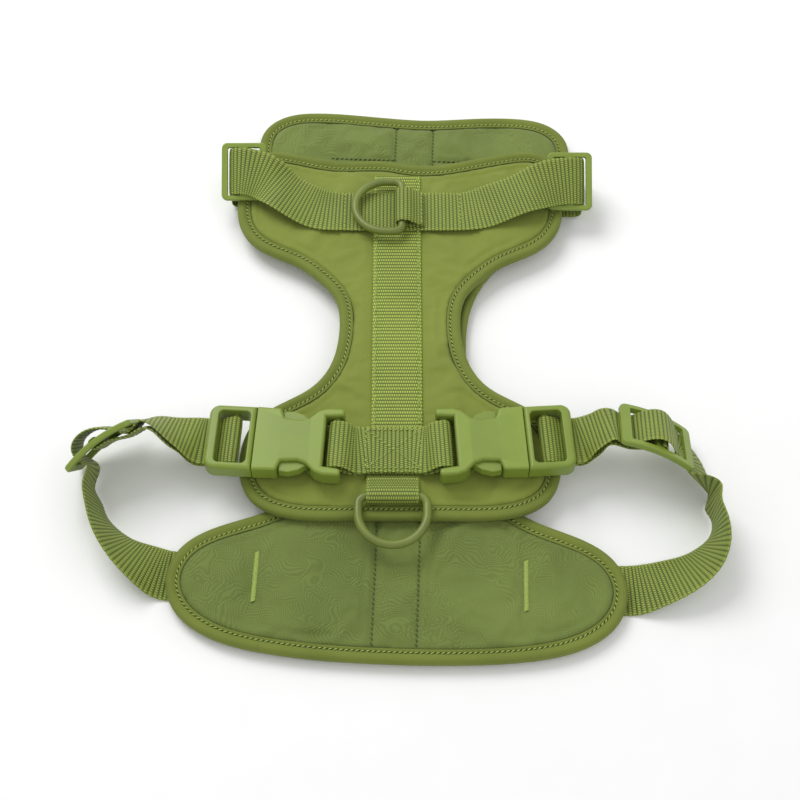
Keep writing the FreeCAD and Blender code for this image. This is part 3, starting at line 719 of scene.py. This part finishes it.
def sheet(loop):
    """A triangle grid inside a closed outline: points, triangles and distances to the rim."""
    even, _, _, _ = periodic(loop, PAD_GRID)
    low, high = even.min(axis=0), even.max(axis=0)
    rows = np.arange(low[1], high[1], PAD_GRID * math.sqrt(0.75))
    grid = [
        (x, y) for n, y in enumerate(rows)
        for x in np.arange(low[0] + (n % 2) * PAD_GRID / 2, high[0], PAD_GRID)
    ]
    grid = np.array(grid)
    grid = grid[inside(grid, even)]
    grid = grid[gap_to(grid, resample(np.concatenate((even, even[:1])), PAD_GRID / 3)) > PAD_GRID * 0.6]
    points = [Vector(p) for p in np.concatenate((even, grid))]
    edges = [(i, (i + 1) % len(even)) for i in range(len(even))]
    made = delaunay_2d_cdt(points, edges, [], 1, 1e-7)
    xy = np.array([tuple(p) for p in made[0]])
    triangles = np.array([face for face in made[2]])
    rim = gap_to(xy, resample(np.concatenate((even, even[:1])), PAD_GRID / 3))
    return xy, triangles, rim


def puff(xy, triangles, z, held, pressure, cap):
    """Swells a sheet by cloth simulation with its held points fixed; moves no point over the cap."""
    start = np.concatenate((xy, z[:, None]), axis=1)
    mesh = bpy.data.meshes.new("puff")
    mesh.from_pydata([tuple(p) for p in start], [], [tuple(int(i) for i in t) for t in triangles])
    obj = bpy.data.objects.new("puff", mesh)
    bpy.context.scene.collection.objects.link(obj)
    group = obj.vertex_groups.new(name="held")
    for index in np.nonzero(held)[0]:
        group.add([int(index)], 1.0, "REPLACE")
    cloth = obj.modifiers.new("puff", "CLOTH")
    settings = cloth.settings
    settings.quality = 5
    settings.mass = 0.15
    settings.tension_stiffness = 12
    settings.compression_stiffness = 12
    settings.shear_stiffness = 4
    settings.bending_stiffness = 0.4
    settings.use_pressure = True
    settings.uniform_pressure_force = pressure
    settings.shrink_min = -0.025
    settings.vertex_group_mass = "held"
    settings.effector_weights.gravity = 0
    cloth.collision_settings.use_collision = False
    scene = bpy.context.scene
    for step in range(1, 21):
        scene.frame_set(step)
    posed = obj.evaluated_get(bpy.context.evaluated_depsgraph_get())
    moved = np.array([vertex.co for vertex in posed.data.vertices], float)
    scene.frame_set(1)
    bpy.data.objects.remove(obj)
    shift = moved - start
    size = np.linalg.norm(shift, axis=1, keepdims=True)
    shift *= np.minimum(1, cap[:, None] / np.maximum(size, 1e-9))
    return start + shift


def layer(name, nodes, lower, upper, triangles, rim_order, body, material, slot):
    """A closed layer between two height surfaces that share one triangle grid."""
    count = len(lower)
    points = np.concatenate((upper, lower))
    faces = [list(t) for t in triangles] + [[i + count for i in t[::-1]] for t in triangles]
    for a, b in rim_order:
        faces.append([b, a, a + count, b + count])
    obj = piece(name, points, faces, material, slot)
    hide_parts(*nodes)
    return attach(obj, body)


def rim_edges(triangles):
    """The sheet's border edges, in the direction of their triangles."""
    seen = {}
    for t in triangles:
        for i in range(3):
            edge = (int(t[i]), int(t[(i + 1) % 3]))
            seen[edge] = True
    return [edge for edge in seen if (edge[1], edge[0]) not in seen]


def lowered(surface, depth):
    return surface - np.array((0, 0, depth))


def pad(prefix, body, slots, material, crown, seams, held_boxes):
    """Face fabric, foam and lining of a panel. The face is crowned and is held down at its seams."""
    binding_node = f"{prefix}_binding"
    face_node = "back_face_fabric" if prefix == "back" else "chest_lining"
    under_node = "back_lining" if prefix == "back" else "chest_face_fabric"
    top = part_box(face_node)[1].z
    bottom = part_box(under_node)[0].z
    shell = 0.8 * MM
    inner = rims(binding_node)[1]
    even, inward, _, _ = periodic(inner, 1.0 * MM)
    xy, triangles, rim = sheet(even - inward * 0.5 * MM)
    if np.cross(xy[triangles[0][1]] - xy[triangles[0][0]], xy[triangles[0][2]] - xy[triangles[0][0]]) < 0:
        triangles = triangles[:, ::-1]
    gap = np.minimum(rim, 0.05)
    held = rim < 0.3 * MM
    sunk = np.zeros(len(xy))
    for seam in seams:
        distance = gap_to(xy, seam)
        held |= distance < 1.0 * MM
        sunk = np.maximum(sunk, np.exp(-(distance / (1.3 * MM)) ** 2))
        gap = np.minimum(gap, distance)
    for (x0, x1), (y0, y1) in held_boxes:
        apart = np.maximum(np.abs(xy - ((x0 + x1) / 2, (y0 + y1) / 2)) - ((x1 - x0) / 2, (y1 - y0) / 2), 0)
        distance = np.linalg.norm(apart, axis=1)
        held |= distance < 0.4 * MM
        gap = np.minimum(gap, distance)
    limit = crown(xy)
    rise = limit * (1 - np.exp(-gap / (5.0 * MM)))
    edge_drop = 0.5 * MM * np.exp(-rim / (1.2 * MM))
    z = top - 0.15 * MM + rise * 0.5 - sunk * 0.8 * MM - edge_drop
    upper = puff(xy, triangles, z, held, 3.0, limit * 0.75)
    upper[:, 2] = np.minimum(upper[:, 2], top + limit)
    border = rim_edges(triangles)
    flat = np.concatenate((xy, np.full((len(xy), 1), bottom)), axis=1)
    second = lowered(upper, shell)
    third = flat + (0, 0, shell + 0.05 * MM)
    second[:, :2] = third[:, :2] = xy
    layer(f"{prefix}_pad_face", [face_node], second, upper, triangles, border, body, material, slots[0])
    foam_top = lowered(second, 0.05 * MM)
    layer(f"{prefix}_pad_foam", [f"{prefix}_foam"], third, foam_top, triangles, border, body,
          MATERIALS["foam"], "foam")
    layer(f"{prefix}_pad_under", [under_node], flat, flat + (0, 0, shell), triangles, border, body,
          material, slots[1])
    return upper


def straight(a, b, step=0.5 * MM):
    return resample(np.array((a, b), float), step)


# ---------------------------------------------------------------- straps on more than one body

def split_strap(name, node, path, cuts, material):
    """Cuts a strap at distances along it; a part on one body rides on it, and a part between two bodies
    keeps its baked-in place.
    """
    rows = [0] + [path.row(distance) for distance, _ in cuts[:-1]] + [len(path.at) - 1]
    for n, (first, last) in enumerate(zip(rows, rows[1:])):
        bodies = cuts[n][1]
        obj = strap_piece(f"{name}_{n + 1}", path, material, first, last)
        if n == 0:
            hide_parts(node)
        if len(bodies) == 1:
            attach(obj, bodies[0])
            continue
        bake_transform(obj)


def girth_strap(side):
    """Sewn end, run to the slider, hump, double layer to the plug's bar and back."""
    node = f"{side}_girth_strap"
    sign = -1 if side == "left" else 1
    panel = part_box("chest_webbing")
    path = strap_path(node, (sign * 0.06, -0.1, panel[0].z))
    outward = -np.array(JOINTS[f"{side}_girth_adjust"]["axis"])
    low, high = (np.array(corner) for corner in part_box(f"{side}_girth_slider"))
    centre = (low + high) / 2
    plug_low, plug_high = (np.array(corner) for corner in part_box(f"{side}_buckle_plug"))
    local = (path.centre - centre) @ outward
    near = np.linalg.norm(path.centre - centre, axis=1)
    hump = path.at[np.nonzero(near < HUMP_REACH)[0][0]]
    beyond = path.at > hump
    leave = path.at[np.nonzero(beyond & (local < -SLIDER_REACH))[0][0]]
    inside_plug = (path.centre[:, 0] * sign < (plug_high[0] if sign > 0 else -plug_low[0]) + 1 * MM) & beyond
    into = path.at[np.nonzero(inside_plug)[0][0]]
    out = path.at[np.nonzero(inside_plug)[0][-1]]
    back = path.at[np.nonzero((path.at > out) & (local > -SLIDER_REACH))[0][0]]
    edge = GIRTH_SEWN
    bend = edge + 0.55 * (hump - edge)
    body, plug, slide = "back_panel", f"{side}_plug", f"{side}_girth_slider"
    cuts = [
        (edge, ["chest_panel"]), (bend, ["chest_panel", body]), (hump, [body, plug]),
        (leave, [slide]), (into, [slide, plug]), (out, [plug]), (back, [plug, slide]), (None, [slide]),
    ]
    split_strap(f"{side}_girth_webbing", node, path, cuts, MATERIALS["strap"])


def neck_strap():
    """Flat under the chest panel, up round both its sides, and over the back panel."""
    path = strap_path("neck_strap", (-0.024, 0.135, 0))
    height = path.centre[:, 2]
    tall = height > NECK_SPAN_HEIGHT
    first, last = path.at[np.nonzero(tall)[0][0]], path.at[np.nonzero(tall)[0][-1]]
    off_table = height > NECK_TURN_HEIGHT
    turn_left = path.at[np.nonzero(off_table)[0][0]]
    turn_right = path.at[np.nonzero(off_table)[0][-1]]
    cuts = [
        (turn_left, ["chest_panel"]), (first, ["chest_panel", "back_panel"]), (last, ["back_panel"]),
        (turn_right, ["back_panel", "chest_panel"]), (None, ["chest_panel"]),
    ]
    split_strap("neck_webbing", "neck_strap", path, cuts, MATERIALS["strap"])
    return path


def whole_strap(name, node, start, body, material):
    path = strap_path(node, start)
    obj = strap_piece(name, path, material)
    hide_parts(node)
    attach(obj, body)
    return path


# ---------------------------------------------------------------- stage

def stage():
    mesh = bpy.data.meshes.new("floor")
    size = 4.0
    corners = [(-size, -size, 0), (size, -size, 0), (size, size, 0), (-size, size, 0)]
    mesh.from_pydata(corners, [], [(0, 1, 2, 3)])
    mesh.materials.append(floor_material())
    floor = bpy.data.objects.new("floor", mesh)
    floor.location.z = -0.0002
    bpy.context.scene.collection.objects.link(floor)


def area_light(name, place, size, power):
    data = bpy.data.lights.new(name, "AREA")
    data.size = size
    data.energy = power
    light = bpy.data.objects.new(name, data)
    light.location = place
    light.rotation_euler = (-Vector(place)).to_track_quat("-Z", "Y").to_euler()
    bpy.context.scene.collection.objects.link(light)


def lights():
    area_light("key", (-0.5, 0.7, 1.1), 0.75, 10.5)
    area_light("fill", (0.9, -0.5, 1.2), 1.2, 2.4)
    world = bpy.data.worlds.new("studio")
    world.use_nodes = True
    world.node_tree.nodes["Background"].inputs["Color"].default_value = (1, 1, 1, 1)
    world.node_tree.nodes["Background"].inputs["Strength"].default_value = 0.66
    bpy.context.scene.world = world
    bpy.context.scene.view_settings.view_transform = "Standard"


def camera():
    data = bpy.data.cameras.new("camera")
    data.lens = CAMERA_LENS
    data.sensor_width = 36.0
    data.clip_start = 0.01
    lift = math.radians(CAMERA_ELEVATION)
    obj = bpy.data.objects.new("camera", data)
    obj.location = (0, -CAMERA_DISTANCE * math.cos(lift), CAMERA_DISTANCE * math.sin(lift))
    obj.rotation_euler = (math.radians(90) - lift, 0, 0)
    bpy.context.scene.collection.objects.link(obj)
    bpy.context.scene.camera = obj


# ---------------------------------------------------------------- the harness

def chest_axis():
    """A function from along and across the chest panel's middle line to xy."""
    chain = strap_corners("chest_webbing", np.array((0, -0.14, 0)))
    start = (chain[0][0] + chain[1][0])[:2] / 2
    end = (chain[0][-1] + chain[1][-1])[:2] / 2
    along = unit(end - start)
    across = np.array((along[1], -along[0]))

    def at(y, x):
        return start + along * (y - start[1]) / along[1] + across * x
    return at


def harness():
    at = chest_axis()
    seams = [straight(at(-0.138, x), at(0.176, x)) for x in (-SEAM_HALF, SEAM_HALF)]
    tacks = [straight(at(-0.1135, x), at(-0.0885, x)) for x in (-0.066, 0.0605)]
    hems = [straight(at(HEM_Y, x0), at(HEM_Y, x1)) for x0, x1 in ((-0.046, -SEAM_HALF), (SEAM_HALF, 0.031))]
    back_low, back_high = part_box("back_binding")

    def chest_crown(xy):
        hidden = (xy[:, 1] > back_low.y + 2 * MM) & (xy[:, 1] < back_high.y - 8 * MM)
        return np.where(hidden, HIDDEN_CROWN, CHEST_CROWN)

    def back_crown(xy):
        return np.full(len(xy), BACK_CROWN)

    pad("chest", "chest_panel", ("chest_cloth", "chest_mesh"), MATERIALS["chest"], chest_crown,
        seams + tacks + hems, [])
    spine_low, spine_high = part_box("spine_webbing")
    spine = ((spine_low.x, spine_high.x), (spine_low.y, spine_high.y))
    pad("back", "back_panel", ("back_cloth", "back_cloth"), MATERIALS["back"], back_crown, [], [spine])
    binding("chest_binding", "chest_panel", "chest_binding_tape")
    binding("back_binding", "back_panel", "back_binding_tape")
    thread = MATERIALS["thread"]
    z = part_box("chest_lining")[1].z - 0.35 * MM
    lines = [(np.concatenate((s, np.full((len(s), 1), z)), axis=1), UP, STITCH_PITCH) for s in seams + hems]
    thread_stitches("chest_seam_stitches", lines, "chest_panel", MATERIALS["seam"], "chest_cloth")
    bars = []
    for tack in tacks:
        heading = unit(tack[-1] - tack[0])
        across = np.array((heading[1], -heading[0]))
        for n in range(46):
            middle = tack[0] + (tack[-1] - tack[0]) * (n + 0.5) / 46
            tilt = heading * 0.35 * MM
            ends = np.array((middle - across * 1.35 * MM - tilt, middle + across * 1.35 * MM + tilt))
            bars.append((np.concatenate((ends, [[z + 0.25 * MM]] * 2), axis=1), UP, 2.7 * MM))
    thread_stitches("chest_bar_tacks", bars, "chest_panel", thread, "chest_cloth", length=2.9 * MM)

    whole_strap("chest_webbing_strap", "chest_webbing", (0, -0.14, 0), "chest_panel", MATERIALS["strap"])
    whole_strap("spine_webbing_strap", "spine_webbing", (0, -0.05, 0.013), "back_panel", MATERIALS["spine"])
    whole_strap("cross_webbing", "cross_strap", (-0.007, -0.037, 0.013), "back_panel", MATERIALS["strap"])
    loops = (("front", (0.012, 0.108, 0.016)), ("rear", (-0.0035, -0.045, 0.013)))
    for end, start in loops:
        whole_strap(f"{end}_ring_webbing", f"{end}_ring_loop", start, "back_panel", MATERIALS["strap"])
    neck_strap()
    for side in ("left", "right"):
        girth_strap(side)
    strap_stitches(spine_low, spine_high)


def strap_stitches(spine_low, spine_high):
    """Rows of stitches that hold the webbing down on the back panel."""
    thread = MATERIALS["thread"]
    lines = []
    z = spine_high.z + 0.02 * MM
    for x in (spine_low.x + 1.6 * MM, spine_high.x - 1.6 * MM):
        ends = np.array(((x, spine_low.y, z), (x, spine_high.y - 2 * MM, z)))
        lines.append((resample(ends, 1 * MM), UP, STITCH_PITCH))
    neck_top = spine_high.z + 1.6 * MM
    for x in (-29.4 * MM, 32 * MM):
        ends = np.array(((x, 0.0965, neck_top), (x, 0.1195, neck_top)))
        lines.append((resample(ends, 1 * MM), UP, STITCH_PITCH))
    loop_top = neck_top + 2.95 * MM
    ends = np.array(((0.0115, 0.098, loop_top - 0.3 * MM), (0.0115, 0.118, loop_top - 0.3 * MM)))
    lines.append((resample(ends, 1 * MM), UP, STITCH_PITCH))
    cross_top = spine_high.z + 3.15 * MM
    y0, y1 = -0.0470, -0.0262
    x0, x1 = -0.0165, 0.0100
    box = [((x0, y0), (x0, y1)), ((x1, y0), (x1, y1)), ((x0, y0), (x1, y0)), ((x0, y1), (x1, y1)),
           ((x0, y0), (x1, y1)), ((x0, y1), (x1, y0))]
    for start, end in box:
        ends = np.array(((*start, cross_top), (*end, cross_top)))
        lines.append((resample(ends, 1 * MM), UP, STITCH_PITCH))
    thread_stitches("webbing_stitches", lines, "back_panel", thread, "webbing")


def hard_parts():
    for node, obj in frame["nodes"].items():
        if "ring" in node and "loop" not in node:
            chosen = MATERIALS["wire"]
        elif any(word in node for word in ("buckle", "latch", "slider")):
            chosen = MATERIALS["plastic"]
        else:
            continue
        for slot in obj.material_slots:
            slot.link = "OBJECT"
            slot.material = chosen


harness()
hard_parts()
stage()
lights()
camera()
